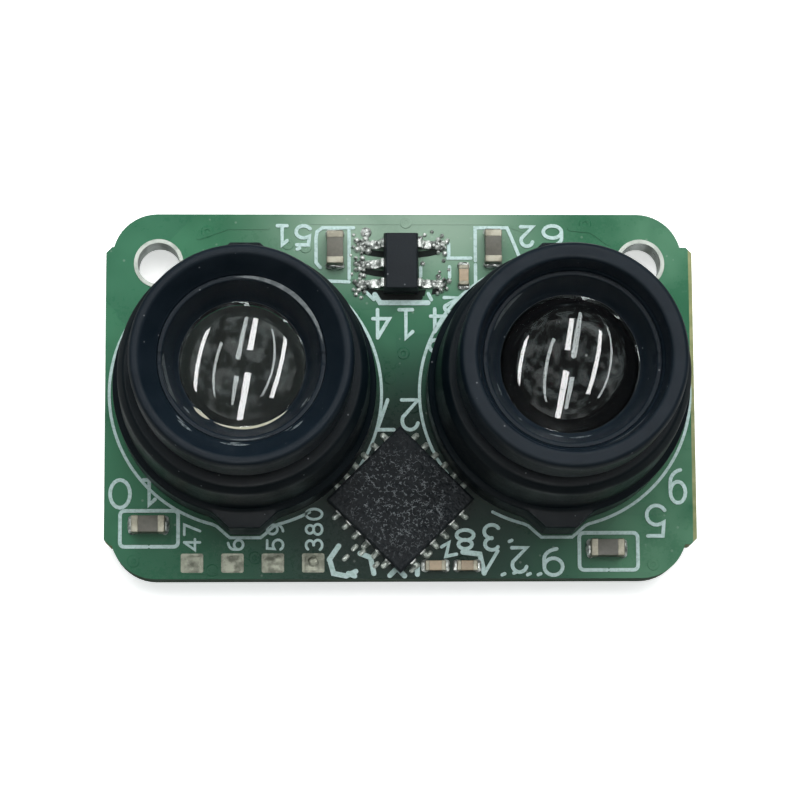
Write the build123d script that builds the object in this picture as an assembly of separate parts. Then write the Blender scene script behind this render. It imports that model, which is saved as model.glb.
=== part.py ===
"""Optical distance sensor module: a circuit board with a sending and a receiving lens barrel.

Millimetres, +Z towards the side that the lenses look at, +X to the right, +Y to the edge with the
mounting holes. The origin is the centre of the board's back face.
"""
import os

from build123d import *

# ---- Barrel thread: it sizes the holders, and they size the board ----
THREAD_RADIUS = 4.5
THREAD_CLEARANCE = 0.05

# ---- Parts under the lenses ----
FILTER_SIDE = 4 / 3 * THREAD_RADIUS
FILTER_THICKNESS = 0.5
EMITTER_LENGTH = 4.0
EMITTER_WIDTH = 3.2
EMITTER_HEIGHT = 1.2
EMITTER_WINDOW = 1.6
RECEIVER_LENGTH = 4.9
RECEIVER_WIDTH = 2.5
RECEIVER_HEIGHT = 1.0
RECEIVER_WINDOW = 1.2
WINDOW_DEPTH = 0.2

# ---- Lens holders ----
HOLDER_WALL_RADIUS = THREAD_RADIUS + 1.35
HOLDER_BASE_RADIUS = HOLDER_WALL_RADIUS + 0.3
HOLDER_BASE_HEIGHT = 2.75
HOLDER_BASE_CHAMFER = 0.15
HOLDER_HEIGHT = 7.2
HOLDER_TAPER = 0.15          # how far the wall leans in by its top
HOLDER_TOP_RADIUS = HOLDER_WALL_RADIUS - 0.45
HOLDER_TOP_BEVEL = 0.5
LUG_REACH = 0.6              # how far a screw lug stands out past the base
LUG_FLAT = 1.4
LUG_FOOT = 2.7
LEDGE_HEADROOM = 0.9         # from the taller chip to the underside of the ledge
LEDGE_HEIGHT = max(EMITTER_HEIGHT, RECEIVER_HEIGHT) + LEDGE_HEADROOM
LEDGE_THICKNESS = 0.8
LEDGE_RADIUS = FILTER_SIDE / 2 - 0.3

# ---- Holder screws ----
SCREW_OFFSET = HOLDER_BASE_RADIUS - 0.4
SCREW_RADIUS = 0.55
SCREW_BITE = 2.0             # how far a screw reaches into the holder
SCREW_CLEARANCE = 0.1
SCREW_HEAD_RADIUS = 1.1
SCREW_HEAD_HEIGHT = 0.5
RECESS_WIDTH = 0.3
RECESS_LENGTH = 1.2
RECESS_DEPTH = 0.3
CAVITY_RADIUS = SCREW_OFFSET - SCREW_RADIUS - 0.9

# ---- Lens barrels ----
BARREL_GAP = 1.0             # from the filter to the barrel's lower end
BARREL_FOOT = LEDGE_HEIGHT + LEDGE_THICKNESS + FILTER_THICKNESS + BARREL_GAP
HEAD_GAP = 0.8               # from the holder to the underside of the barrel's head
HEAD_FOOT = HOLDER_HEIGHT + HEAD_GAP
HEAD_HEIGHT = 3.2
HEAD_TOP = HEAD_FOOT + HEAD_HEIGHT
HEAD_BEVEL = 0.2
SEAT_LIP = 0.5               # the lip at the barrel's lower end that the glass rests on
SEAT_LIP_WIDTH = 0.6
REAR_LENS_EDGE = 0.7
SPACER_WALL = 0.6
FRONT_LENS_EDGE = 0.8
LENS_BULGE_REAR = 0.35
GLASS_MARGIN = 0.05          # flat border between a bulge and the ring or spacer round it
RING_LIP = 0.45              # how far a retaining ring reaches in over the glass

# ---- Sending side ----
TX_HEAD_RADIUS = THREAD_RADIUS + 0.5
TX_RIM_WIDTH = 0.45
TX_MOUTH_RADIUS = TX_HEAD_RADIUS - 1.25
TX_MOUTH_DEPTH = 1.1
TX_GLASS_RADIUS = TX_MOUTH_RADIUS - 0.45
TX_APERTURE_RADIUS = TX_GLASS_RADIUS - RING_LIP
TX_FRONT_BULGE = 0.55

# ---- Receiving side ----
RX_HEAD_RADIUS = THREAD_RADIUS + 0.6
RX_RIM_WIDTH = 0.8
RX_MOUTH_RADIUS = RX_HEAD_RADIUS - 1.1
RX_MOUTH_DEPTH = 1.3
RX_GLASS_RADIUS = RX_MOUTH_RADIUS - 0.4
RX_APERTURE_RADIUS = RX_GLASS_RADIUS - RING_LIP
RX_FRONT_BULGE = 0.75

# ---- Retaining rings ----
RING_FOOT = HEAD_FOOT + 0.4  # underside of both retaining rings above the board
RING_TOP_WALL = 0.2
RING_SLOT_WIDTH = 0.7
RING_SLOT_DEPTH = 0.25

# ---- Board ----
LENS_GAP = 2.4               # between the two holders' bases
LENS_SPACING = 2 * HOLDER_BASE_RADIUS + LENS_GAP
LENS_Y = 0.1
HOLDER_MARGIN = 0.5          # from a holder's base to the board's end
LUG_MARGIN = 2.0             # from a lug to the board's long edge, for a lens on the centre line
BOARD_LENGTH = LENS_SPACING + 2 * (HOLDER_BASE_RADIUS + HOLDER_MARGIN)
BOARD_WIDTH = 2 * (HOLDER_BASE_RADIUS + LUG_REACH + LUG_MARGIN)
BOARD_THICKNESS = 1.6
CORNER_RADIUS = 2.15
LEFT_SCORE_STEP = 0.3        # how far the snapped left side stands out past the routed corners
RIGHT_SCORE_STEP = 0.5
SCORE_END = 1.6              # from the board's top and bottom edges to where a snapped side ends
SCORE_CHAMFER = 0.28
TOP = BOARD_THICKNESS
HALF_LENGTH = BOARD_LENGTH / 2
HALF_WIDTH = BOARD_WIDTH / 2
SCREW_LENGTH = TOP + SCREW_BITE

# ---- Mounting holes ----
MOUNT_END = 2.5              # hole centre to the board's end
MOUNT_EDGE = 2.4             # hole centre to the board's top edge
MOUNT_SPACING = BOARD_LENGTH - 2 * MOUNT_END
MOUNT_Y = HALF_WIDTH - MOUNT_EDGE
MOUNT_HOLE_RADIUS = 1.0
PLATING_WALL = 0.05
MOUNT_PAD_RADIUS = 1.18
PAD_THICKNESS = 0.04

# ---- Voltage regulator ----
REGULATOR_X = 0.05
REGULATOR_Y = HALF_WIDTH - 2.45
REGULATOR_BODY = (1.65, 2.85, 1.05)
REGULATOR_STANDOFF = 0.08
REGULATOR_DRAFT = 0.1
LEAD_PITCH = 0.95
LEAD_WIDTH = 0.4
LEAD_THICKNESS = 0.15
LEAD_REACH = 0.575           # how far a lead stands out past the body
LEAD_FOOT = 0.38
LEAD_EXIT = 0.55             # middle of a lead's root above the board

# ---- Microcontroller ----
MICRO_X = -0.05
MICRO_Y = 3.7 - HALF_WIDTH
MICRO_SIDE = 4.9
MICRO_HEIGHT = 0.85
MICRO_TURN = 45
MICRO_PITCH = 0.65
MICRO_PER_SIDE = 6
MICRO_PAD_WIDTH = 0.32
MICRO_PAD_LENGTH = 0.45
MICRO_PAD_REACH = 0.06
MICRO_PAD_HEIGHT = 0.2
MICRO_EDGE_BEVEL = 0.06

# ---- Chip parts: length, width and height, then centre x, y and turn in degrees ----
CAPACITOR_SIZE = (1.6, 0.82, 0.8)
CAPACITOR_CAP = 0.36
CAPACITOR_PLACES = (
    (-3.1, HALF_WIDTH - 1.73, 90),
    (4.45, HALF_WIDTH - 1.67, 90),
    (2.1 - HALF_LENGTH, 2.55 - HALF_WIDTH, 0),
    (HALF_LENGTH - 4.3, 1.4 - HALF_WIDTH, 0),
)
RESISTOR_SIZE = (1.0, 0.5, 0.36)
RESISTOR_CAP = 0.24
RESISTOR_PLACES = (
    (3.05, HALF_WIDTH - 3.0, 90),
    (3.1, 0.6 - HALF_WIDTH, 0),
    (1.6, 0.6 - HALF_WIDTH, 0),
)
CHIP_BEVEL = 0.05

# ---- Wire pads ----
WIRE_PAD_X = 4.15 - HALF_LENGTH
WIRE_PAD_PITCH = 1.9
WIRE_PAD_COUNT = 4
WIRE_PAD_SIZE = (1.05, 0.9)
WIRE_PAD_EDGE = 0.75         # pad centre to the board's bottom edge


def rod(radius, low, high):
    """A plain cylinder about Z between two heights."""
    return Pos(0, 0, low) * Cylinder(radius, high - low, align=(Align.CENTER, Align.CENTER, Align.MIN))


def ring(outer, inner, low, high):
    """A plain ring about Z between two heights."""
    return rod(outer, low, high) - rod(inner, low, high)


def turned(points):
    """The solid that a closed outline in the XZ plane sweeps about Z."""
    outline = Plane.XZ * make_face(Polyline(*points, close=True))
    return revolve(outline, axis=Axis.Z)


def block(length, width, height, low):
    """A box centred on Z, standing on a height."""
    return Pos(0, 0, low) * Box(length, width, height, align=(Align.CENTER, Align.CENTER, Align.MIN))


def write(name, shape):
    export_step(shape, f"parts/{name}.step")


# ---- Board ----
def mount_places():
    return [(side * MOUNT_SPACING / 2, MOUNT_Y) for side in (-1, 1)]


def lens_places():
    return {"tx": (-LENS_SPACING / 2, LENS_Y), "rx": (LENS_SPACING / 2, LENS_Y)}


def screw_places():
    return [(x, y + side * SCREW_OFFSET) for x, y in lens_places().values() for side in (-1, 1)]


def board_outline():
    """Routed corners between snapped sides that stand out a little past them."""
    routed_length = BOARD_LENGTH - LEFT_SCORE_STEP - RIGHT_SCORE_STEP
    routed_x = (LEFT_SCORE_STEP - RIGHT_SCORE_STEP) / 2
    routed = Pos(routed_x, 0) * RectangleRounded(routed_length, BOARD_WIDTH, CORNER_RADIUS)
    snapped = Rectangle(BOARD_LENGTH, BOARD_WIDTH - 2 * SCORE_END)
    snapped = chamfer(snapped.vertices(), SCORE_CHAMFER)
    return routed + snapped


def circuit_board():
    body = extrude(board_outline(), BOARD_THICKNESS)
    for x, y in mount_places():
        body -= Pos(x, y, TOP / 2) * Cylinder(MOUNT_HOLE_RADIUS + PLATING_WALL, 2 * TOP)
    for x, y in screw_places():
        body -= Pos(x, y, TOP / 2) * Cylinder(SCREW_RADIUS + SCREW_CLEARANCE, 2 * TOP)
    return body


def hole_plating():
    """A plated wall with a narrow pad on each face of the board, for each mounting hole."""
    sleeve = ring(MOUNT_HOLE_RADIUS + PLATING_WALL, MOUNT_HOLE_RADIUS, -PAD_THICKNESS, TOP + PAD_THICKNESS)
    sleeve += ring(MOUNT_PAD_RADIUS, MOUNT_HOLE_RADIUS, TOP, TOP + PAD_THICKNESS)
    sleeve += ring(MOUNT_PAD_RADIUS, MOUNT_HOLE_RADIUS, -PAD_THICKNESS, 0)
    return Compound([Pos(x, y, 0) * sleeve.solid() for x, y in mount_places()])


def wire_pads():
    pad = RectangleRounded(*WIRE_PAD_SIZE, WIRE_PAD_SIZE[1] / 10)
    pad = extrude(pad, PAD_THICKNESS)
    y = WIRE_PAD_EDGE - HALF_WIDTH
    places = [WIRE_PAD_X + index * WIRE_PAD_PITCH for index in range(WIRE_PAD_COUNT)]
    return Compound([Pos(x, y, TOP) * pad.solid() for x in places])


# ---- Lens holders ----
def lug_outline(reach):
    """A lug that widens towards the holder; reach is from the lens axis to its flat end."""
    return make_face(Polyline((-LUG_FOOT / 2, 0), (-LUG_FOOT / 2, reach - LUG_REACH),
                              (-LUG_FLAT / 2, reach), (LUG_FLAT / 2, reach),
                              (LUG_FOOT / 2, reach - LUG_REACH), (LUG_FOOT / 2, 0), close=True))


def lens_holder():
    """A stepped tube: chip cavity, filter ledge and threaded bore, with a screw lug on two sides."""
    wall_top = HOLDER_WALL_RADIUS - HOLDER_TAPER
    body = turned([
        (0, 0),
        (HOLDER_BASE_RADIUS, 0),
        (HOLDER_BASE_RADIUS, HOLDER_BASE_HEIGHT - HOLDER_BASE_CHAMFER),
        (HOLDER_BASE_RADIUS - HOLDER_BASE_CHAMFER, HOLDER_BASE_HEIGHT),
        (HOLDER_WALL_RADIUS, HOLDER_BASE_HEIGHT),
        (wall_top, HOLDER_HEIGHT - HOLDER_TOP_BEVEL),
        (HOLDER_TOP_RADIUS, HOLDER_HEIGHT),
        (0, HOLDER_HEIGHT),
    ])
    reach = HOLDER_BASE_RADIUS + LUG_REACH
    lug = extrude(lug_outline(reach), HOLDER_BASE_HEIGHT - HOLDER_BASE_CHAMFER)
    body += lug + Rot(0, 0, 180) * lug
    bore_foot = LEDGE_HEIGHT + LEDGE_THICKNESS
    body -= Cylinder(CAVITY_RADIUS, 2 * LEDGE_HEIGHT)
    body -= Cylinder(LEDGE_RADIUS, 2 * HOLDER_HEIGHT)
    body -= rod(THREAD_RADIUS + THREAD_CLEARANCE, bore_foot, 2 * HOLDER_HEIGHT)
    pilot_depth = SCREW_BITE + SCREW_CLEARANCE
    for side in (-1, 1):
        body -= Pos(0, side * SCREW_OFFSET, 0) * rod(SCREW_RADIUS, 0, pilot_depth)
    return body


def holder_screw():
    """A thread-forming screw with a flat head under the board and a cross recess."""
    shank = rod(SCREW_RADIUS, 0, SCREW_LENGTH)
    head = rod(SCREW_HEAD_RADIUS, -SCREW_HEAD_HEIGHT, 0)
    head = fillet(head.edges().group_by(Axis.Z)[0], SCREW_HEAD_HEIGHT / 2)
    recess = Box(RECESS_LENGTH, RECESS_WIDTH, 2 * RECESS_DEPTH)
    recess += Box(RECESS_WIDTH, RECESS_LENGTH, 2 * RECESS_DEPTH)
    return shank + head - Pos(0, 0, -SCREW_HEAD_HEIGHT) * recess


def holder_screws():
    screw = holder_screw()
    return Compound([Pos(x, y, 0) * screw.solid() for x, y in screw_places()])


# ---- Barrels and their glass ----
def lens_barrel(head_radius, rim_width, mouth_radius, mouth_depth, glass_radius):
    """Thread, head and stepped bore of a barrel, about Z with the board's face at height 0."""
    mouth_floor = HEAD_TOP - mouth_depth
    return turned([
        (glass_radius - SEAT_LIP_WIDTH, BARREL_FOOT),
        (THREAD_RADIUS, BARREL_FOOT),
        (THREAD_RADIUS, HEAD_FOOT),
        (head_radius - HEAD_BEVEL, HEAD_FOOT),
        (head_radius, HEAD_FOOT + HEAD_BEVEL),
        (head_radius, HEAD_TOP - HEAD_BEVEL),
        (head_radius - HEAD_BEVEL, HEAD_TOP),
        (head_radius - rim_width, HEAD_TOP),
        (mouth_radius, mouth_floor),
        (mouth_radius, RING_FOOT),
        (glass_radius, RING_FOOT),
        (glass_radius, BARREL_FOOT + SEAT_LIP),
        (glass_radius - SEAT_LIP_WIDTH, BARREL_FOOT + SEAT_LIP),
    ])


def retaining_ring(mouth_radius, mouth_depth, aperture_radius):
    """A threaded ring with a cone that opens forwards, and two slots for the driver."""
    top = HEAD_TOP - mouth_depth
    body = turned([
        (aperture_radius, RING_FOOT),
        (mouth_radius, RING_FOOT),
        (mouth_radius, top),
        (mouth_radius - RING_TOP_WALL, top),
    ])
    slot = Box(3 * mouth_radius, RING_SLOT_WIDTH, 2 * RING_SLOT_DEPTH)
    slot -= Cylinder(aperture_radius, top)
    return body - Pos(0, 0, top) * slot


def dome(radius, bulge, height, way):
    """A cap of a sphere that stands on a height, upwards for way 1 and downwards for way -1."""
    sphere_radius = (radius ** 2 + bulge ** 2) / (2 * bulge)
    centre = height + way * (bulge - sphere_radius)
    cap = Pos(0, 0, centre) * Sphere(sphere_radius)
    low, high = sorted((height, height + way * bulge))
    return cap & rod(radius + bulge, low, high)


def rear_lens_edges():
    low = BARREL_FOOT + SEAT_LIP
    return low, low + REAR_LENS_EDGE


def front_lens_edges():
    return RING_FOOT - FRONT_LENS_EDGE, RING_FOOT


def front_lens(glass_radius, aperture_radius, bulge):
    low, high = front_lens_edges()
    glass = rod(glass_radius, low, high)
    glass += dome(aperture_radius - GLASS_MARGIN, bulge, high, 1)
    return glass + dome(glass_radius - SPACER_WALL - GLASS_MARGIN, LENS_BULGE_REAR, low, -1)


def rear_lens(glass_radius):
    low, high = rear_lens_edges()
    glass = rod(glass_radius, low, high)
    return glass + dome(glass_radius - SPACER_WALL - GLASS_MARGIN, LENS_BULGE_REAR, high, 1)


def lens_spacer(glass_radius):
    return ring(glass_radius, glass_radius - SPACER_WALL, rear_lens_edges()[1], front_lens_edges()[0])


def barrel_set():
    """Every piece of both barrels and holders, by node name."""
    sizes = {
        "tx": (TX_HEAD_RADIUS, TX_RIM_WIDTH, TX_MOUTH_RADIUS, TX_MOUTH_DEPTH, TX_GLASS_RADIUS,
               TX_APERTURE_RADIUS, TX_FRONT_BULGE),
        "rx": (RX_HEAD_RADIUS, RX_RIM_WIDTH, RX_MOUTH_RADIUS, RX_MOUTH_DEPTH, RX_GLASS_RADIUS,
               RX_APERTURE_RADIUS, RX_FRONT_BULGE),
    }
    pieces = {}
    for side, (x, y) in lens_places().items():
        head, rim, mouth, depth, glass, aperture, bulge = sizes[side]
        shapes = {
            "lens_holder": lens_holder(),
            "lens_barrel": lens_barrel(head, rim, mouth, depth, glass),
            "retaining_ring": retaining_ring(mouth, depth, aperture),
            "front_lens": front_lens(glass, aperture, bulge),
            "lens_spacer": lens_spacer(glass),
            "rear_lens": rear_lens(glass),
        }
        for name, shape in shapes.items():
            pieces[f"{side}_{name}"] = Pos(x, y, TOP) * shape
    return pieces


# ---- Parts under the lenses ----
def windowed_package(length, width, height, window):
    body = block(length, width, height, 0)
    return body - block(window, window, WINDOW_DEPTH, height - WINDOW_DEPTH)


def optical_parts():
    tx_x, tx_y = lens_places()["tx"]
    rx_x, rx_y = lens_places()["rx"]
    emitter = windowed_package(EMITTER_LENGTH, EMITTER_WIDTH, EMITTER_HEIGHT, EMITTER_WINDOW)
    receiver = windowed_package(RECEIVER_LENGTH, RECEIVER_WIDTH, RECEIVER_HEIGHT, RECEIVER_WINDOW)
    shelf = LEDGE_HEIGHT + LEDGE_THICKNESS
    return {
        "laser_emitter": Pos(tx_x, tx_y, TOP) * emitter,
        "receiver_chip": Pos(rx_x, rx_y, TOP) * receiver,
        "infrared_filter": Pos(rx_x, rx_y, TOP) * block(FILTER_SIDE, FILTER_SIDE, FILTER_THICKNESS, shelf),
    }


# ---- Voltage regulator ----
def regulator_body():
    """A moulded body whose sides lean in above and below the line of the leads."""
    length, width, height = REGULATOR_BODY
    waist = LEAD_EXIT - REGULATOR_STANDOFF
    inset = (length - 2 * REGULATOR_DRAFT, width - 2 * REGULATOR_DRAFT)
    low = loft([Rectangle(*inset), Pos(0, 0, waist) * Rectangle(length, width)])
    high = loft([Pos(0, 0, waist) * Rectangle(length, width), Pos(0, 0, height) * Rectangle(*inset)])
    return Pos(REGULATOR_X, REGULATOR_Y, TOP + REGULATOR_STANDOFF) * (low + high)


def lead_places():
    """Row offset and side of each lead: three on the left, the outer two on the right."""
    left = [(-1, row) for row in (-1, 0, 1)]
    right = [(1, row) for row in (-1, 1)]
    return left + right


def regulator_lead():
    """One gull-wing lead on the right-hand side, with its root face on the body."""
    root = REGULATOR_BODY[0] / 2
    tip = root + LEAD_REACH
    heel = tip - LEAD_FOOT
    low, high = LEAD_EXIT - LEAD_THICKNESS / 2, LEAD_EXIT + LEAD_THICKNESS / 2
    side = make_face(Polyline((root, low), (heel - LEAD_THICKNESS, low), (heel, 0), (tip, 0),
                              (tip, LEAD_THICKNESS), (heel + LEAD_THICKNESS / 2, LEAD_THICKNESS),
                              (heel - LEAD_THICKNESS / 2, high), (root, high), close=True))
    return extrude(Plane.XZ * side, LEAD_WIDTH / 2, both=True)


def regulator_leads():
    lead = regulator_lead()
    leads = []
    for side, row in lead_places():
        turn = 0 if side > 0 else 180
        place = Pos(REGULATOR_X, REGULATOR_Y + row * LEAD_PITCH, TOP)
        leads.append(place * Rot(0, 0, turn) * lead.solid())
    return Compound(leads)


# ---- Microcontroller ----
def micro_place():
    return Pos(MICRO_X, MICRO_Y, TOP) * Rot(0, 0, MICRO_TURN)


def micro_terminal_set():
    """Terminals along all four sides, in the package's own axes."""
    reach = MICRO_SIDE / 2 + MICRO_PAD_REACH
    first = -(MICRO_PER_SIDE - 1) / 2 * MICRO_PITCH
    pad = block(MICRO_PAD_LENGTH, MICRO_PAD_WIDTH, MICRO_PAD_HEIGHT, 0)
    pads = []
    for quarter in range(4):
        for index in range(MICRO_PER_SIDE):
            offset = first + index * MICRO_PITCH
            place = Rot(0, 0, 90 * quarter) * Pos(reach - MICRO_PAD_LENGTH / 2, offset, 0)
            pads.append(place * pad.solid())
    return pads


def microcontroller():
    pads = micro_terminal_set()
    body = block(MICRO_SIDE, MICRO_SIDE, MICRO_HEIGHT, 0)
    body = chamfer(body.edges().group_by(Axis.Z)[-1], MICRO_EDGE_BEVEL)
    for pad in pads:
        body -= pad
    terminals = Compound([micro_place() * pad for pad in pads])
    return {"microcontroller": micro_place() * body, "microcontroller_terminals": terminals}


# ---- Chip parts ----
def chip_set(size, cap, places):
    """Bodies and end terminals of a group of equal chip parts."""
    length, width, height = size
    core = block(length - 2 * cap, width - CHIP_BEVEL, height - CHIP_BEVEL, CHIP_BEVEL / 2)
    end = block(cap, width, height, 0)
    end = chamfer(end.edges().group_by(Axis.Z)[-1], CHIP_BEVEL)
    bodies, ends = [], []
    for x, y, turn in places:
        place = Pos(x, y, TOP) * Rot(0, 0, turn)
        bodies.append(place * core.solid())
        for side in (-1, 1):
            ends.append(place * Pos(side * (length - cap) / 2, 0, 0) * end.solid())
    return Compound(bodies), Compound(ends)


def main():
    os.makedirs("parts", exist_ok=True)
    nodes = {
        "circuit_board": circuit_board(),
        "hole_plating": hole_plating(),
        "wire_pads": wire_pads(),
        "holder_screws": holder_screws(),
        "regulator_body": regulator_body(),
        "regulator_leads": regulator_leads(),
    }
    nodes.update(barrel_set())
    nodes.update(optical_parts())
    nodes.update(microcontroller())
    nodes["capacitor_bodies"], nodes["capacitor_ends"] = chip_set(
        CAPACITOR_SIZE, CAPACITOR_CAP, CAPACITOR_PLACES)
    nodes["resistor_bodies"], nodes["resistor_ends"] = chip_set(
        RESISTOR_SIZE, RESISTOR_CAP, RESISTOR_PLACES)
    for name, shape in nodes.items():
        write(name, shape)


main()
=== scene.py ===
"""Looks for an optical distance sensor board: lens barrels, chips, solder, ink and board finish."""
import itertools
import math

import bmesh
import bpy
from mathutils import Matrix, Vector, noise


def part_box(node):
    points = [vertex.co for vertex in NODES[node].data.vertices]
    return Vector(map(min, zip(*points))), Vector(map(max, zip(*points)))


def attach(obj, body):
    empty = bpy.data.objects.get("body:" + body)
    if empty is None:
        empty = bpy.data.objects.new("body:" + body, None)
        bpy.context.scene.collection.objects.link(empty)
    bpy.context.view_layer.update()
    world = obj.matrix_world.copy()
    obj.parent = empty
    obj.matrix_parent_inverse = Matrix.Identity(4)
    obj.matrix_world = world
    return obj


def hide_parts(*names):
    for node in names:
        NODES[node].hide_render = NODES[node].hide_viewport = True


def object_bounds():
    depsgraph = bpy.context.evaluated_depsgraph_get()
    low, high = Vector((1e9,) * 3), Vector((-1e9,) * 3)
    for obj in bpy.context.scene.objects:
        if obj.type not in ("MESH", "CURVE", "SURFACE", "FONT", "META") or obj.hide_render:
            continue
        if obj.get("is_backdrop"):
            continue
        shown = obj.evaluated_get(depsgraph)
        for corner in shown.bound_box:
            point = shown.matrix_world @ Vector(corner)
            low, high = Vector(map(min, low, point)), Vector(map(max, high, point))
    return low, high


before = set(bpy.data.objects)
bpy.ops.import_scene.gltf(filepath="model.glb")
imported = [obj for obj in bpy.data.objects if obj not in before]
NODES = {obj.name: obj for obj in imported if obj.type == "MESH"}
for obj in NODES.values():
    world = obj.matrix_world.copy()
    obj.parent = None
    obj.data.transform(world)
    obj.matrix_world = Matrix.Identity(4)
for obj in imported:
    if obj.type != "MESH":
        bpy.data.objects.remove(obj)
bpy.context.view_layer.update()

MM = 0.001
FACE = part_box("circuit_board")[1].z / MM      # the board's front face, in millimetres

# ---- Sizes in millimetres; heights are above the board's front face ----
LENS_Y = 0.1
LENS_X = {"tx": -7.35, "rx": 7.35}
THREAD_RADIUS = 4.5
THREAD_PITCH = 0.5
THREAD_DEPTH = 0.16
THREAD_TOP = 7.8
THREAD_ROWS = 56
BARREL_FOOT = 4.4
HEAD_FOOT = 8.0
HEAD_TOP = 11.2
RING_FOOT = 8.4
SEAT_HEIGHT = 4.9
SEAT_LIP = 0.6                # how far the seat and the spacer reach in under the glass
REAR_LENS_TOP = 5.6
FRONT_LENS_FOOT = 7.6
BARRELS = {
    "tx": {"head": 5.0, "rim": 4.55, "mouth": 3.75, "floor": 10.1, "glass": 3.3, "aperture": 2.85,
           "bulge": 0.55, "soft": 0.5},
    "rx": {"head": 5.1, "rim": 4.3, "mouth": 4.0, "floor": 9.9, "glass": 3.6, "aperture": 3.15,
           "bulge": 0.75, "soft": 0.2},
}
BACK_BULGE = 0.35
RING_RIM = 0.22
BOWL_LIP = 0.1
BOWL_CURVE = 1.5
BOWL_ROWS = 10
SLOT_HALF = 0.3
SLOT_DIP = 0.1
HOLDER_BASE = 6.15
HOLDER_FOOT_TOP = 2.7
HOLDER_WALL = 5.85
HOLDER_TOP = 7.2
HOLDER_BORE = 4.56
LUG_END = 6.75
LUG_FLAT = 0.7
LUG_SLOPE = 1.083
GLASS_GAP = 0.015             # keeps glass just clear of the metal round it
MARK_GAP = 0.006              # keeps each painted glint, highlight and reflection just clear of the metal under it
REGULATOR = (0.05, 6.3)
REGULATOR_LENGTH = 2.85
REGULATOR_WIDTH = 1.65
REGULATOR_STAND = 0.08
REGULATOR_WAIST = 0.49        # from its underside to where its upper sides start to lean in
LEAD_PITCH = 0.95
LEADS = [(side, REGULATOR[1] + LEAD_PITCH * row)
         for side, row in ((-1, -1), (-1, 0), (-1, 1), (1, -1), (1, 1))]
CAPACITOR_SIZE = (1.6, 0.82, 0.8)
CAPACITOR_PLACES = ((-3.1, 7.02, 90), (4.45, 7.08, 90), (-11.9, -6.2, 0), (9.7, -7.35, 0))
RESISTOR_SIZE = (1.0, 0.5, 0.36)
RESISTOR_PLACES = ((3.05, 5.75, 90), (3.1, -8.15, 0), (1.6, -8.15, 0))
CONTROLLER_PLACE = (-0.05, -5.05, 45)
CONTROLLER_SIDE = 4.9
CONTROLLER_TOP = 0.79
CONTROLLER_MOST = 0.85        # no lump of its coat stands higher
TERMINAL_PITCH = 0.65
PAD_PITCH = 1.9
FIRST_PAD = (-9.85, -8.0)
INK_HEIGHT = 0.03
INK_WIDTH = 0.17
TRACE_HEIGHT = 0.012
PAINTED_SHADOW_HEIGHT = 0.006
LAYER_STEP = 0.002            # keeps lines that cross from lying in one plane
LAYER_CYCLE = 7
TURN_STEPS = 256
SLOTTED_STEPS = 360
ARC_STEPS = 5
CONTROLLER_SPOT = (CONTROLLER_PLACE[0] * MM, CONTROLLER_PLACE[1] * MM, FACE * MM)   # in metres


# ---- Shader groups and materials ----
def join(tree, value, socket):
    """Links another node's output to a socket, or sets the socket's plain value."""
    if isinstance(value, bpy.types.NodeSocket):
        tree.links.new(value, socket)
    else:
        socket.default_value = (*value, 1.0) if isinstance(value, tuple) else value


def put(tree, made, **values):
    """Sets a node's inputs by name."""
    for key, value in values.items():
        join(tree, value, made.inputs[key.replace("_", " ")])
    return made


def add_node(tree, kind, **values):
    return put(tree, tree.nodes.new("ShaderNode" + kind), **values)


def numbered(tree, made, first, *values):
    """Sets a node's inputs in their order, from the given one on."""
    for index, value in enumerate(values, first):
        join(tree, value, made.inputs[index])


def math_node(tree, operation, *values):
    made = add_node(tree, "Math")
    made.operation = operation
    numbered(tree, made, 0, *values)
    return made.outputs[0]


def times(tree, first, second):
    return math_node(tree, "MULTIPLY", first, second)


def ramp(tree, source, low, high, bottom=0.0, top=1.0):
    """Maps a value between low and high onto bottom to top, smoothly."""
    made = add_node(tree, "MapRange")
    made.interpolation_type = "SMOOTHSTEP"
    numbered(tree, made, 0, source, low, high, bottom, top)
    return made.outputs[0]


def blend_colour(tree, factor, first, second):
    made = add_node(tree, "Mix")
    made.data_type = "RGBA"
    numbered(tree, made, 0, factor)
    numbered(tree, made, 6, first, second)
    return made.outputs[2]


def own_place(tree):
    """The piece's own coordinates, in metres."""
    return add_node(tree, "TexCoord").outputs["Object"]


def three_parts(tree, kind, source):
    """The parts of a vector (XYZ) or of a colour (Color)."""
    made = add_node(tree, "Separate" + kind)
    numbered(tree, made, 0, source)
    return made.outputs


def new_group(name, inputs, outputs):
    tree = bpy.data.node_groups.new(name, "ShaderNodeTree")
    for label, value in inputs.items():
        socket = tree.interface.new_socket(label, in_out="INPUT", socket_type="NodeSocketFloat")
        socket.default_value = value
    for label in outputs:
        tree.interface.new_socket(label, in_out="OUTPUT", socket_type="NodeSocketFloat")
    return tree, tree.nodes.new("NodeGroupInput").outputs, tree.nodes.new("NodeGroupOutput")


def place_noise(tree, scale, detail, rough=0.6):
    """Noise over the piece's own place, with its scale per metre or taken from a socket."""
    made = add_node(tree, "TexNoise", Vector=own_place(tree), Scale=scale, Detail=detail, Roughness=rough)
    return made.outputs["Fac"]


def near_controller(tree, near, far):
    """1 close to the controller's centre and 0 beyond the far distance, in metres."""
    apart = add_node(tree, "VectorMath")
    apart.operation = "DISTANCE"
    apart.inputs[1].default_value = CONTROLLER_SPOT
    numbered(tree, apart, 0, own_place(tree))
    return ramp(tree, apart.outputs["Value"], near, far, 1.0, 0.0)


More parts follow.
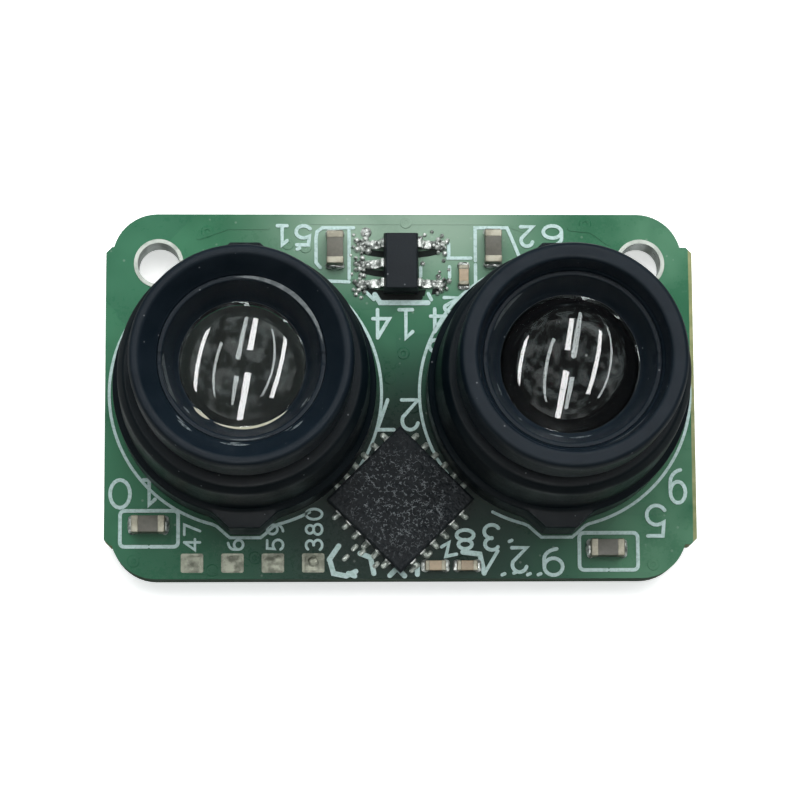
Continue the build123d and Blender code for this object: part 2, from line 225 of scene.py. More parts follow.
def edge_wear_group():
    """Mask that is 1 along sharp outer edges, broken up by noise."""
    tree, given, out = new_group("edge_wear", {"Radius": 0.0001, "Amount": 1.0}, ["Mask"])
    soft = add_node(tree, "Bevel", Radius=given["Radius"])
    soft.samples = 4
    alike = add_node(tree, "VectorMath")
    alike.operation = "DOT_PRODUCT"
    numbered(tree, alike, 0, soft.outputs[0], add_node(tree, "NewGeometry").outputs["Normal"])
    edge = ramp(tree, math_node(tree, "SUBTRACT", 1.0, alike.outputs["Value"]), 0.01, 0.16)
    broken = ramp(tree, place_noise(tree, 2600.0, 4.0), 0.35, 0.62)
    put(tree, out, Mask=times(tree, times(tree, edge, broken), given["Amount"]))
    return tree


def fine_grain_group():
    """Height and shade of a fine moulded or blasted surface."""
    tree, given, out = new_group("fine_grain", {"Scale": 9000.0}, ["Height", "Shade"])
    fine = place_noise(tree, given["Scale"], 5.0, 0.7)
    broad = place_noise(tree, times(tree, given["Scale"], 0.06), 3.0)
    shade = math_node(tree, "ADD", times(tree, fine, 0.4), times(tree, broad, 0.6))
    put(tree, out, Height=fine, Shade=ramp(tree, shade, 0.3, 0.7))
    return tree


def dust_group():
    """Small specks of dust, as a mask that is rarer for a higher Clean value."""
    tree, given, out = new_group("dust_specks", {"Scale": 5000.0, "Clean": 0.8}, ["Mask"])
    cells = add_node(tree, "TexVoronoi", Vector=own_place(tree), Scale=given["Scale"])
    near = ramp(tree, cells.outputs["Distance"], 0.12, 0.26, 1.0, 0.0)
    draw = three_parts(tree, "Color", cells.outputs["Color"])[0]
    put(tree, out, Mask=times(tree, near, math_node(tree, "GREATER_THAN", draw, given["Clean"])))
    return tree


EDGE_WEAR = edge_wear_group()
FINE_GRAIN = fine_grain_group()
DUST = dust_group()


def grouped(tree, group, **values):
    made = add_node(tree, "Group")
    made.node_tree = group
    return put(tree, made, **values).outputs


def new_material(name, metallic=0.0):
    made = bpy.data.materials.new(name)
    made.use_nodes = True
    shader = made.node_tree.nodes["Principled BSDF"]
    put(made.node_tree, shader, Metallic=metallic)
    return made, made.node_tree, shader


def bump(tree, shader, height, distance, strength):
    relief = add_node(tree, "Bump", Height=height, Distance=distance, Strength=strength)
    put(tree, shader, Normal=relief.outputs[0])


def finish(tree, shader, colour, shade, rough, height, depth, strength=0.6):
    """Joins a colour, a roughness that follows a shade, and a relief to the shader."""
    put(tree, shader, Base_Color=colour, Roughness=ramp(tree, shade, 0.0, 1.0, *rough))
    bump(tree, shader, height, depth, strength)


def worn_surface(name, dark, light, worn, rough, grain=9000.0, depth=0.00001, edge=0.00012,
                 clean=0.93, specular=0.5):
    """A moulded or anodised finish: grain, broad shade, lighter edges and a little dust."""
    made, tree, shader = new_material(name)
    texture = grouped(tree, FINE_GRAIN, Scale=grain)
    wear = grouped(tree, EDGE_WEAR, Radius=edge, Amount=0.7)["Mask"]
    dust = times(tree, grouped(tree, DUST, Clean=clean)["Mask"], 0.35)
    colour = blend_colour(tree, texture["Shade"], dark, light)
    colour = blend_colour(tree, wear, colour, worn)
    colour = blend_colour(tree, dust, colour, (0.32, 0.34, 0.36))
    put(tree, shader, Specular_IOR_Level=specular)
    finish(tree, shader, colour, texture["Shade"], rough, texture["Height"], depth, 0.5)
    return made


def mask_green(tree, place, across, broad, copper):
    """The mask's green over copper, with a painted sheen at the top, painted shade in the middle, at the foot
    and round the controller, and painted light on a patchy right side.
    """
    green = blend_colour(tree, ramp(tree, broad, 0.35, 0.65), (0.018, 0.104, 0.050), (0.034, 0.150, 0.078))
    # Painted sheen: a pale wash near the top middle stands in for the reflection of the light there.
    painted_sheen = times(tree, ramp(tree, across, 0.002, 0.009, 1.0, 0.0), ramp(tree, place[1], 0.0035, 0.0082))
    painted_sheen = times(tree, painted_sheen, ramp(tree, broad, 0.3, 0.6, 0.55, 0.85))
    # Painted shade: darker green in the middle of the board and towards its foot.
    shade = times(tree, ramp(tree, across, 0.004, 0.0115, 1.0, 0.14), ramp(tree, place[1], 0.0076, -0.0037))
    # Painted light: a patchy lighter green towards the board's right side.
    corner = times(tree, ramp(tree, place[0], 0.007, 0.012), ramp(tree, broad, 0.4, 0.6))
    for mask, most, colour in ((copper, 0.3, (0.016, 0.090, 0.052)), (painted_sheen, 1.0, (0.23, 0.32, 0.25)),
                               (shade, 0.86, (0.008, 0.034, 0.023)),
                               # Painted shade round the controller: near-black green close to it.
                               (near_controller(tree, 0.0032, 0.0078), 0.92, (0.0016, 0.011, 0.0075)),
                               (corner, 0.5, (0.085, 0.20, 0.120))):
        green = blend_colour(tree, times(tree, mask, most), green, colour)
    return green


def bare_laminate(tree, across):
    """Layers of glass-epoxy on the cut edges, pale only on the snapped ends; elsewhere on the cut edges a
    dark green painted shade.
    """
    weave = add_node(tree, "TexWave", Vector=own_place(tree), Scale=1600.0, Distortion=2.0)
    weave.bands_direction = "Z"
    bare = blend_colour(tree, weave.outputs["Fac"], (0.17, 0.20, 0.085), (0.36, 0.34, 0.18))
    # Painted shade: dark green on the cut edges, bare laminate only towards the snapped ends.
    return blend_colour(tree, ramp(tree, across, 0.0130, 0.0138), (0.034, 0.062, 0.036), bare)


def solder_mask_material():
    """Green mask over copper and laminate on the faces, bare laminate with painted shade on the cut edges."""
    made, tree, shader = new_material("green_solder_mask")
    place = three_parts(tree, "XYZ", own_place(tree))
    across = math_node(tree, "ABSOLUTE", place[0])
    broad = place_noise(tree, 160.0, 3.0)
    pour = add_node(tree, "TexVoronoi", Vector=own_place(tree), Scale=260.0)
    pour.distance = "CHEBYCHEV"
    copper = ramp(tree, three_parts(tree, "Color", pour.outputs["Color"])[0], 0.55, 0.6)
    facing = three_parts(tree, "XYZ", add_node(tree, "NewGeometry").outputs["True Normal"])
    flat = ramp(tree, math_node(tree, "ABSOLUTE", facing[2]), 0.5, 0.7)
    pulled = math_node(tree, "ADD", place[0], times(tree, broad, 0.0001))
    unstripped = math_node(tree, "SUBTRACT", 1.0, ramp(tree, pulled, 0.01386, 0.01389))
    colour = blend_colour(tree, times(tree, flat, unstripped), bare_laminate(tree, across),
                          mask_green(tree, place, across, broad, copper))
    dust = times(tree, grouped(tree, DUST, Clean=0.9, Scale=3200.0)["Mask"], 0.16)
    colour = blend_colour(tree, dust, colour, (0.4, 0.45, 0.4))
    grain = grouped(tree, FINE_GRAIN, Scale=5200.0)
    satin = ramp(tree, grain["Shade"], 0.0, 1.0, 0.24, 0.38)
    rough = math_node(tree, "ADD", satin, ramp(tree, flat, 0.0, 1.0, 0.45, 0.0))
    put(tree, shader, Base_Color=colour, Roughness=rough, Specular_IOR_Level=0.14)
    bump(tree, shader, math_node(tree, "ADD", grain["Height"], times(tree, copper, 2.0)), 0.000006, 0.5)
    return made


def metal_material(name, low, high, rough, grain=3500.0, metallic=1.0, tarnish=0.5):
    """Tin, solder or plated steel with darker patches and an uneven surface."""
    made, tree, shader = new_material(name, metallic=metallic)
    texture = grouped(tree, FINE_GRAIN, Scale=grain)
    patch = ramp(tree, place_noise(tree, grain * 0.5, 4.0), 0.4, 0.62)
    colour = blend_colour(tree, times(tree, patch, tarnish), high, low)
    finish(tree, shader, colour, texture["Shade"], rough, texture["Height"], 0.00002)
    return made


def ink_material():
    """White ink, thin enough in places for the green to show."""
    made, tree, shader = new_material("white_silkscreen")
    thin = ramp(tree, place_noise(tree, 7000.0, 4.0), 0.42, 0.66)
    colour = blend_colour(tree, times(tree, thin, 0.45), (0.40, 0.53, 0.52), (0.12, 0.26, 0.20))
    finish(tree, shader, colour, thin, (0.6, 0.42), thin, 0.00001, 0.4)
    return made


def flecked_coating():
    """Near-black rough coating with short curled bright flecks."""
    made, tree, shader = new_material("rough_coated_package")
    texture = grouped(tree, FINE_GRAIN, Scale=12000.0)
    curl = math_node(tree, "ABSOLUTE", math_node(tree, "SUBTRACT", place_noise(tree, 3500.0, 3.0), 0.5))
    line = ramp(tree, curl, 0.008, 0.036, 1.0, 0.0)
    spread = ramp(tree, place_noise(tree, 5200.0, 2.0), 0.42, 0.60)
    fleck = times(tree, times(tree, line, spread), near_controller(tree, 0.0014, 0.0034))
    colour = blend_colour(tree, texture["Shade"], (0.0028, 0.0046, 0.0062), (0.0080, 0.0112, 0.0140))
    colour = blend_colour(tree, fleck, colour, (0.190, 0.210, 0.220))
    put(tree, shader, Specular_IOR_Level=0.15)
    finish(tree, shader, colour, fleck, (0.5, 0.3), math_node(tree, "ADD", fleck, texture["Height"]),
           0.00002, 0.7)
    return made


def glass_material(name, tint, ior, shine=1.0):
    """Glass with a trace of dust on it; shine is how much of its plain reflection a coating leaves."""
    made, tree, shader = new_material(name)
    dust = times(tree, grouped(tree, DUST, Clean=0.985, Scale=2600.0)["Mask"], 0.3)
    smear = ramp(tree, place_noise(tree, 420.0, 3.0), 0.4, 0.75, 0.0, 0.04)
    put(tree, shader, Base_Color=blend_colour(tree, dust, tint, (0.7, 0.72, 0.7)), IOR=ior,
        Roughness=math_node(tree, "ADD", smear, dust), Transmission_Weight=1.0,
        Specular_Tint=(shine, shine, shine))
    return made


def ceramic_material(name, low, high, rough):
    """A fired or cured finish with a faint grain and lighter edges."""
    made, tree, shader = new_material(name)
    texture = grouped(tree, FINE_GRAIN, Scale=6000.0)
    wear = grouped(tree, EDGE_WEAR, Radius=0.00004, Amount=0.5)["Mask"]
    colour = blend_colour(tree, texture["Shade"], low, high)
    colour = blend_colour(tree, wear, colour, tuple(min(1.0, 1.5 * part) for part in high))
    finish(tree, shader, colour, texture["Shade"], rough, texture["Height"], 0.000008, 0.5)
    return made


MASK = solder_mask_material()
ANODISED = worn_surface("black_anodised_metal", (0.0030, 0.0066, 0.0108), (0.0054, 0.0100, 0.0154),
                        (0.040, 0.054, 0.066), (0.36, 0.50), grain=12000.0, depth=0.000004,
                        clean=0.975, specular=0.13)
HOLDER_BLACK = worn_surface("black_moulded_holder", (0.0018, 0.0044, 0.0064), (0.0036, 0.0070, 0.0096),
                            (0.036, 0.050, 0.057), (0.32, 0.48), grain=8000.0, depth=0.000006,
                            clean=0.98, specular=0.10)
BORE_BLACK = worn_surface("matt_black_bore", (0.0035, 0.0038, 0.0042), (0.0065, 0.0068, 0.0072),
                          (0.012, 0.012, 0.013), (0.75, 0.9), specular=0.08)
PACKAGE_BLACK = worn_surface("black_moulding_compound", (0.0050, 0.0076, 0.0104), (0.0094, 0.0130, 0.0166),
                             (0.050, 0.058, 0.064), (0.42, 0.6), grain=11000.0, depth=0.000012,
                             edge=0.00006, specular=0.13)
# Painted shadow under the regulator's leads and case: a near-black sheet.
PAINTED_SHADOW = worn_surface("painted_lead_shadows", (0.0016, 0.0036, 0.0030), (0.0044, 0.0080, 0.0066),
                    (0.010, 0.015, 0.013), (0.4, 0.6), clean=0.995, specular=0.1)
COATED_BLACK = flecked_coating()
TIN = metal_material("tinned_copper_pads", (0.07, 0.075, 0.055), (0.22, 0.23, 0.18), (0.34, 0.52),
                     metallic=0.5, tarnish=0.85)
PLATING = metal_material("bright_hole_plating", (0.20, 0.23, 0.20), (0.40, 0.43, 0.39), (0.25, 0.4),
                         grain=2500.0, metallic=0.25, tarnish=0.6)
SOLDER = metal_material("bright_solder", (0.030, 0.040, 0.036), (0.62, 0.65, 0.62), (0.20, 0.38),
                        grain=7000.0, metallic=0.5, tarnish=0.88)
TERMINAL_TIN = metal_material("terminal_solder", (0.05, 0.06, 0.05), (0.36, 0.40, 0.36), (0.25, 0.4),
                              grain=8000.0, metallic=0.3, tarnish=0.6)
# Painted glints and painted highlights on the barrels' rings and cones.
PAINTED_GLINT_METAL = metal_material("painted_glint_metal", (0.06, 0.08, 0.09), (0.36, 0.41, 0.43), (0.25, 0.4),
                            grain=9000.0, metallic=0.7, tarnish=0.9)
PAINTED_HIGHLIGHT_METAL = metal_material("painted_highlight_metal", (0.030, 0.040, 0.045), (0.085, 0.100, 0.106),
                              (0.35, 0.5), grain=6000.0, metallic=0.2, tarnish=0.8)
STEEL = metal_material("zinc_plated_steel", (0.42, 0.43, 0.44), (0.70, 0.71, 0.72), (0.24, 0.38))
CHIP_TIN = metal_material("matt_tin_ends", (0.11, 0.10, 0.07), (0.30, 0.29, 0.23), (0.34, 0.5),
                          metallic=0.5)
CAPACITOR_BROWN = ceramic_material("capacitor_ceramic", (0.040, 0.038, 0.026), (0.085, 0.082, 0.060),
                                   (0.3, 0.45))
RESISTOR_TAN = ceramic_material("resistor_coating", (0.20, 0.15, 0.09), (0.36, 0.27, 0.17), (0.35, 0.5))
# Cream colour of the painted reflection along the sending lens' edge.
PAINTED_EDGE_REFLECTION = ceramic_material("painted_lens_edge_reflection", (0.30, 0.29, 0.22), (0.46, 0.45, 0.37), (0.3, 0.5))
DARK_CERAMIC = ceramic_material("dark_ceramic", (0.030, 0.028, 0.025), (0.060, 0.056, 0.050), (0.5, 0.7))
INK = ink_material()
LENS_GLASS = glass_material("clear_lens_glass", (0.90, 0.97, 0.97), 1.52)
COATED_GLASS = glass_material("coated_rear_glass", (0.92, 0.98, 0.97), 1.11, shine=0.0)
FILTER_GLASS = glass_material("dark_filter_glass", (0.20, 0.04, 0.06), 1.12, shine=0.0)


# ---- Mesh code ----
def piece(name, mesh, material, body, replaced=(), crease=32.0, closed=True):
    """Turns a bmesh in millimetres into an object that rides on a body."""
    if closed:
        bmesh.ops.remove_doubles(mesh, verts=mesh.verts, dist=0.0004)
        bmesh.ops.recalc_face_normals(mesh, faces=mesh.faces)
    bmesh.ops.scale(mesh, vec=Vector((MM, MM, MM)), verts=mesh.verts)
    data = bpy.data.meshes.new(name)
    mesh.to_mesh(data)
    mesh.free()
    data.polygons.foreach_set("use_smooth", [True] * len(data.polygons))
    data.set_sharp_from_angle(angle=math.radians(crease))
    data.materials.append(material)
    made = bpy.data.objects.new(name, data)
    bpy.context.scene.collection.objects.link(made)
    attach(made, body)
    if replaced:
        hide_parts(*replaced)
    return made


def blacken_bore(made, centre, radius, low, high):
    """Gives the faces inside a bore their own matt black."""
    made.data.materials.append(BORE_BLACK)
    for face in made.data.polygons:
        place = face.center / MM
        inside = math.hypot(place.x - centre[0], place.y - centre[1]) < radius
        if inside and low < place.z - FACE < high:
            face.material_index = 1


def rounded(corners):
    """A closed outline of (r, z, fillet) corners, with each fillet turned into a short arc."""
    outline = []
    count = len(corners)
    for index, (r, z, fillet) in enumerate(corners):
        here = Vector((r, z))
        if not fillet:
            outline.append(here)
            continue
        before = Vector(corners[index - 1][:2]) - here
        after = Vector(corners[(index + 1) % count][:2]) - here
        cut = min(fillet, before.length / 2, after.length / 2)
        start, end = here + before.normalized() * cut, here + after.normalized() * cut
        for step in range(ARC_STEPS + 1):
            t = step / ARC_STEPS
            outline.append(start * (1 - t) ** 2 + here * 2 * t * (1 - t) + end * t ** 2)
    return outline


def around(centre, r, angle):
    """The point at a distance and an angle (in radians) from a centre."""
    return centre[0] + r * math.cos(angle), centre[1] + r * math.sin(angle)


def ring(mesh, centre, r, z, steps):
    """A closed row of points about a centre."""
    return [mesh.verts.new((*around(centre, r, 2 * math.pi * step / steps), FACE + z))
            for step in range(steps)]


def bridge(mesh, first, second):
    """Faces between two closed rows of points."""
    for index, corner in enumerate(first):
        after = (index + 1) % len(first)
        mesh.faces.new((corner, second[index], second[after], first[after]))


def fan(mesh, tip, row):
    """Faces from a tip to a closed row of points."""
    for index, corner in enumerate(row):
        mesh.faces.new((tip, corner, row[(index + 1) % len(row)]))


def height_field(mesh, place, cells, point_at):
    """A square net; point_at gives its point for a share across and a share up."""
    grid = [[mesh.verts.new(place @ Vector(point_at(column / cells, row / cells)))
             for column in range(cells + 1)] for row in range(cells + 1)]
    for lower, upper in zip(grid, grid[1:]):
        for column in range(cells):
            mesh.faces.new((lower[column], lower[column + 1], upper[column + 1], upper[column]))
    return grid


def lathe(mesh, outline, centre, reshape=None, steps=TURN_STEPS):
    """Sweeps a closed outline about Z; reshape moves a point by its angle."""
    rows = []
    for step in range(steps):
        angle = 2 * math.pi * step / steps
        section = [reshape(r, z, angle) if reshape else (r, z) for r, z in outline]
        rows.append([mesh.verts.new((*around(centre, r, angle), FACE + z)) for r, z in section])
    for here, there in zip(rows, rows[1:] + rows[:1]):
        bridge(mesh, here, there)


def lens_centre(side):
    return LENS_X[side], LENS_Y


def lug_radius(angle, end, flat):
    """Distance from the axis to a lug's outline, which lies on the Y axis both ways."""
    across, along = abs(math.cos(angle)), abs(math.sin(angle))
    if across > along:
        return 0.0
    return min(end / along, (flat + end * LUG_SLOPE) / (across + along * LUG_SLOPE))


def smooth_max(first, second, width):
    gap = max(width - abs(first - second), 0.0) / width
    return max(first, second) + gap * gap * width / 4


# ---- Lens holders and barrels ----
def holder_shape(r, z, angle):
    """Pulls the foot of a holder out into its two screw lugs."""
    if z > HOLDER_FOOT_TOP or r < 5.0:
        return r, z
    return smooth_max(HOLDER_BASE, lug_radius(angle, LUG_END, LUG_FLAT), 0.12) - (HOLDER_BASE - r), z


def lens_holder(side):
    mesh = bmesh.new()
    outline = rounded([
        (2.7, 2.1, 0), (4.3, 2.1, 0), (4.3, 0.0, 0), (HOLDER_BASE, 0.0, 0.04),
        (HOLDER_BASE, HOLDER_FOOT_TOP - 0.04, 0.14), (HOLDER_WALL + 0.14, HOLDER_FOOT_TOP + 0.04, 0.0),
        (HOLDER_WALL, HOLDER_FOOT_TOP + 0.16, 0.05), (5.78, 5.2, 0), (5.70, HOLDER_TOP - 0.5, 0.16),
        (5.40, HOLDER_TOP, 0.14), (HOLDER_BORE + 0.16, HOLDER_TOP, 0.05),
        (HOLDER_BORE, HOLDER_TOP - 0.16, 0.0), (HOLDER_BORE, 2.9, 0), (2.7, 2.9, 0),
    ])
    lathe(mesh, outline, lens_centre(side), holder_shape, SLOTTED_STEPS)
    made = piece(f"{side}_holder_shell", mesh, HOLDER_BLACK, "board",
                 [f"{side}_lens_holder"])
    blacken_bore(made, lens_centre(side), HOLDER_BORE + 0.04, 0.01, HOLDER_TOP - 0.2)


def thread_shape(r, z, angle):
    """Cuts a right-hand thread into the barrel's outside below the head."""
    if abs(r - THREAD_RADIUS) > 0.01 or not BARREL_FOOT + 0.15 <= z <= THREAD_TOP - 0.05:
        return r, z
    phase = (z / THREAD_PITCH - angle / (2 * math.pi)) % 1.0
    return r - THREAD_DEPTH * (1 - abs(2 * phase - 1)), z


def lens_barrel(side):
    size = BARRELS[side]
    head, rim, mouth, floor, glass = (size[key] for key in ("head", "rim", "mouth", "floor", "glass"))
    soft = size["soft"]
    low, neck = BARREL_FOOT + 0.1, THREAD_RADIUS - 0.1
    thread = [(THREAD_RADIUS, low + (THREAD_TOP - low) * row / THREAD_ROWS, 0)
              for row in range(THREAD_ROWS + 1)]
    outline = rounded([
        (glass - SEAT_LIP, BARREL_FOOT, 0), (neck, BARREL_FOOT, 0), *thread,
        (neck, THREAD_TOP + 0.05, 0), (neck, HEAD_FOOT, 0), (head - 0.18, HEAD_FOOT, 0.08),
        (head, HEAD_FOOT + 0.2, 0.12), (head, HEAD_TOP - 0.34, 0.3), (head - 0.14, HEAD_TOP, 0.16),
        (rim, HEAD_TOP, soft), (mouth + 0.12, floor + 0.16, soft / 3), (mouth, floor + 0.02, 0.05),
        (mouth, RING_FOOT, 0), (glass, RING_FOOT, 0), (glass, SEAT_HEIGHT, 0),
        (glass - SEAT_LIP, SEAT_HEIGHT, 0),
    ])
    mesh = bmesh.new()
    lathe(mesh, outline, lens_centre(side), thread_shape)
    made = piece(f"{side}_barrel_tube", mesh, ANODISED, f"{side}_barrel",
                 [f"{side}_lens_barrel"])
    blacken_bore(made, lens_centre(side), glass + 0.02, BARREL_FOOT - 0.1, RING_FOOT)


def mouth_height(side, r):
    """Height of the ring's bowl, the ring's rim or the barrel's cone at a distance from the axis."""
    size = BARRELS[side]
    mouth, top = size["mouth"], size["floor"]
    inner = mouth - RING_RIM
    if r > mouth:
        return top + (HEAD_TOP - top) * (r - mouth) / (size["rim"] - mouth)
    if r > inner:
        return top
    along = max(0.0, (r - size["aperture"]) / (inner - size["aperture"]))
    return RING_FOOT + BOWL_LIP + (top - RING_FOOT - BOWL_LIP) * along ** BOWL_CURVE


def retaining_ring(side):
    """Ring over the front glass: a smooth bowl with shallow driver slots across its rim."""
    size = BARRELS[side]
    mouth, top, aperture = size["mouth"] - GLASS_GAP, size["floor"], size["aperture"]
    inner = size["mouth"] - RING_RIM

    def slotted(r, z, angle):
        across = abs(r * math.sin(angle)) / SLOT_HALF
        if across > 1 or z < top - 0.3:
            return r, z
        return r, z - SLOT_DIP * (1 - across ** 4)

    radii = [inner + (aperture - inner) * row / BOWL_ROWS for row in range(1, BOWL_ROWS + 1)]
    outline = rounded([(aperture, RING_FOOT, 0.0), (mouth, RING_FOOT, 0.0), (mouth, top, 0.04),
                       (inner, top, 0.1), *((r, mouth_height(side, r), 0) for r in radii)])
    mesh = bmesh.new()
    lathe(mesh, outline, lens_centre(side), slotted, SLOTTED_STEPS)
    piece(f"{side}_front_ring", mesh, ANODISED, f"{side}_barrel",
          [f"{side}_retaining_ring"], crease=50.0)


def crescent(mesh, side, radius, start, end, width, lift=0.012):
    """A thin mark along an arc of a barrel's mouth, widest in its middle and tapered to its ends."""
    steps = max(6, int((end - start) / 3))
    rows = []
    for step in range(steps + 1):
        angle = math.radians(start + (end - start) * step / steps)
        half = width / 2 * (0.08 + 0.92 * max(0.0, math.sin(math.pi * step / steps)) ** 0.7)
        rows.append([mesh.verts.new((*around(lens_centre(side), r, angle),
                                     FACE + mouth_height(side, r) + MARK_GAP + rise))
                     for r, rise in ((radius - half, 0.0), (radius, lift), (radius + half, 0.0))])
    for here, there in zip(rows, rows[1:]):
        for column in (0, 1):
            mesh.faces.new((here[column], there[column], there[column + 1], here[column + 1]))


# Painted light on the rings and cones, as (radius, start and end angle in degrees, width); arcs of over 30
# degrees are painted highlights, shorter ones painted glints.
PAINTED_LIGHT_MARKS = {
    "tx": ((3.66, 10, 96, 0.2), (3.46, 176, 214, 0.2), (3.95, 225, 237, 0.12), (3.85, 222, 230, 0.07),
           (3.3, 218, 226, 0.1), (3.9, 256, 276, 0.11), (3.8, 262, 270, 0.06), (3.66, 258, 292, 0.05),
           (3.92, 303, 314, 0.1), (3.8, 300, 306, 0.06), (3.38, 320, 330, 0.1), (3.5, 326, 331, 0.05)),
    "rx": ((3.72, 126, 160, 0.12), (3.36, 252, 264, 0.07), (3.4, 268, 286, 0.09), (3.45, 226, 230, 0.1),
           (4.15, 288, 322, 0.05), (3.45, 196, 206, 0.06)),
}


def painted_light_marks(side):
    """Painted glints and painted highlights on the ring and the cone: bright marks, long arcs as highlights
    and short ones as glints.
    """
    glint_mesh, highlight_mesh = bmesh.new(), bmesh.new()
    for radius, start, end, width in PAINTED_LIGHT_MARKS[side]:
        crescent(highlight_mesh if end - start > 30 else glint_mesh, side, radius, start, end, width)
    piece(f"{side}_painted_glints", glint_mesh, PAINTED_GLINT_METAL, f"{side}_barrel", closed=False)
    piece(f"{side}_painted_edge_highlights", highlight_mesh, PAINTED_HIGHLIGHT_METAL, f"{side}_barrel", closed=False)


def painted_lens_edge_reflection():
    """A painted reflection: a cream arc along the sending lens' lower edge."""
    mesh = bmesh.new()
    radius = BARRELS["tx"]["aperture"] + 0.06
    crescent(mesh, "tx", radius, 222, 240, 0.16, 0.03)
    crescent(mesh, "tx", radius, 244, 314, 0.13, 0.03)
    piece("tx_painted_edge_reflection", mesh, PAINTED_EDGE_REFLECTION, "tx_barrel", closed=False)


def lens_spacer(side):
    """Grooved black tube that keeps the two glasses apart."""
    glass = BARRELS[side]["glass"] - GLASS_GAP
    inner = glass - SEAT_LIP
    low, high = REAR_LENS_TOP + GLASS_GAP, FRONT_LENS_FOOT - GLASS_GAP
    rows = 14
    groove = [(inner + 0.06 * (row % 2), high - (high - low) * row / rows, 0) for row in range(1, rows)]
    outline = rounded([(inner, low, 0.03), (glass, low, 0.0), (glass, high, 0.0), (inner, high, 0.03),
                       *groove])
    mesh = bmesh.new()
    lathe(mesh, outline, lens_centre(side), steps=128)
    piece(f"{side}_glass_spacer", mesh, BORE_BLACK, f"{side}_glass",
          [f"{side}_lens_spacer"])


def cap_height(r, radius, bulge):
    """Height of a sphere cap of that edge radius and bulge, at distance r from its axis."""
    if r >= radius:
        return 0.0
    sphere = (radius ** 2 + bulge ** 2) / (2 * bulge)
    return math.sqrt(sphere ** 2 - r ** 2) - (sphere - bulge)


def lens_mesh(centre, radius, low, high, front, back):
    """A lens with a cap of (edge radius, bulge) on its front and another on its back."""
    rows = 40
    mesh = bmesh.new()
    edges = []
    for height, way, (cap_radius, bulge) in ((high, 1, front), (low, -1, back)):
        radii = [cap_radius * math.sin(math.pi / 2 * row / rows) for row in range(1, rows + 1)] + [radius]
        rings = [ring(mesh, centre, r, height + way * cap_height(r, cap_radius, bulge), TURN_STEPS)
                 for r in radii]
        fan(mesh, mesh.verts.new((*centre, FACE + height + way * bulge)), rings[0])
        for inner, outer in zip(rings, rings[1:]):
            bridge(mesh, inner, outer)
        edges.append(rings[-1])
    bridge(mesh, *edges)
    return mesh


def lens_glass(side):
    size = BARRELS[side]
    glass = size["glass"] - GLASS_GAP
    back = (size["glass"] - 0.65, BACK_BULGE)
    front = lens_mesh(lens_centre(side), glass, FRONT_LENS_FOOT, RING_FOOT - GLASS_GAP,
                      (size["aperture"] - 0.05, size["bulge"]), back)
    piece(f"{side}_front_glass", front, LENS_GLASS, f"{side}_glass", [f"{side}_front_lens"])
    rear = lens_mesh(lens_centre(side), glass, SEAT_HEIGHT + GLASS_GAP, REAR_LENS_TOP, back, (back[0], 0.05))
    piece(f"{side}_rear_glass", rear, COATED_GLASS, f"{side}_glass", [f"{side}_rear_lens"])


# ---- Chips ----
def soft_box(mesh, length, width, height, bevel, place, taper=0.0):
    """A bevelled block that stands on Z = 0 of its place and leans in towards its top."""
    made = bmesh.ops.create_cube(mesh, size=1.0)
    corners = made["verts"]
    for vertex in corners:
        lean = taper if vertex.co.z > 0 else 0.0
        vertex.co = Vector((math.copysign(length / 2 - lean, vertex.co.x),
                            math.copysign(width / 2 - lean, vertex.co.y), height if vertex.co.z > 0 else 0.0))
    edges = list({edge for vertex in corners for edge in vertex.link_edges})
    rounded_off = bmesh.ops.bevel(mesh, geom=edges, offset=bevel, segments=3, profile=0.6, affect="EDGES",
                                  clamp_overlap=True)
    moved = set(rounded_off["verts"]) | {vertex for vertex in corners if vertex.is_valid}
    bmesh.ops.transform(mesh, matrix=place, verts=list(moved))


def standing(x, y, turn=0.0, height=0.0):
    return Matrix.Translation((x, y, FACE + height)) @ Matrix.Rotation(math.radians(turn), 4, "Z")


def regulator():
    """The regulator's case, whose upper half leans in."""
    mesh = bmesh.new()
    soft_box(mesh, REGULATOR_WIDTH, REGULATOR_LENGTH, 0.56, 0.05,
             standing(*REGULATOR, 0, REGULATOR_STAND + REGULATOR_WAIST), 0.1)
    soft_box(mesh, REGULATOR_WIDTH, REGULATOR_LENGTH, 0.47, 0.04, standing(*REGULATOR, 0, REGULATOR_STAND))
    piece("regulator_case", mesh, PACKAGE_BLACK, "board", ["regulator_body"])


def chip_parts(name, places, size, cap, body_material, end_material, replaced):
    """Ceramic bodies with wrapped tin ends."""
    length, width, height = size
    cores, ends = bmesh.new(), bmesh.new()
    for x, y, turn in places:
        soft_box(cores, length - 2 * cap + 0.1, width - 0.05, height - 0.05, 0.03,
                 standing(x, y, turn, 0.025))
        for way in (-1, 1):
            offset = Matrix.Translation((way * (length - cap) / 2, 0, 0))
            soft_box(ends, cap, width, height, 0.09, standing(x, y, turn) @ offset)
    piece(f"{name}_cores", cores, body_material, "board", [replaced[0]])
    piece(f"{name}_caps", ends, end_material, "board", [replaced[1]])


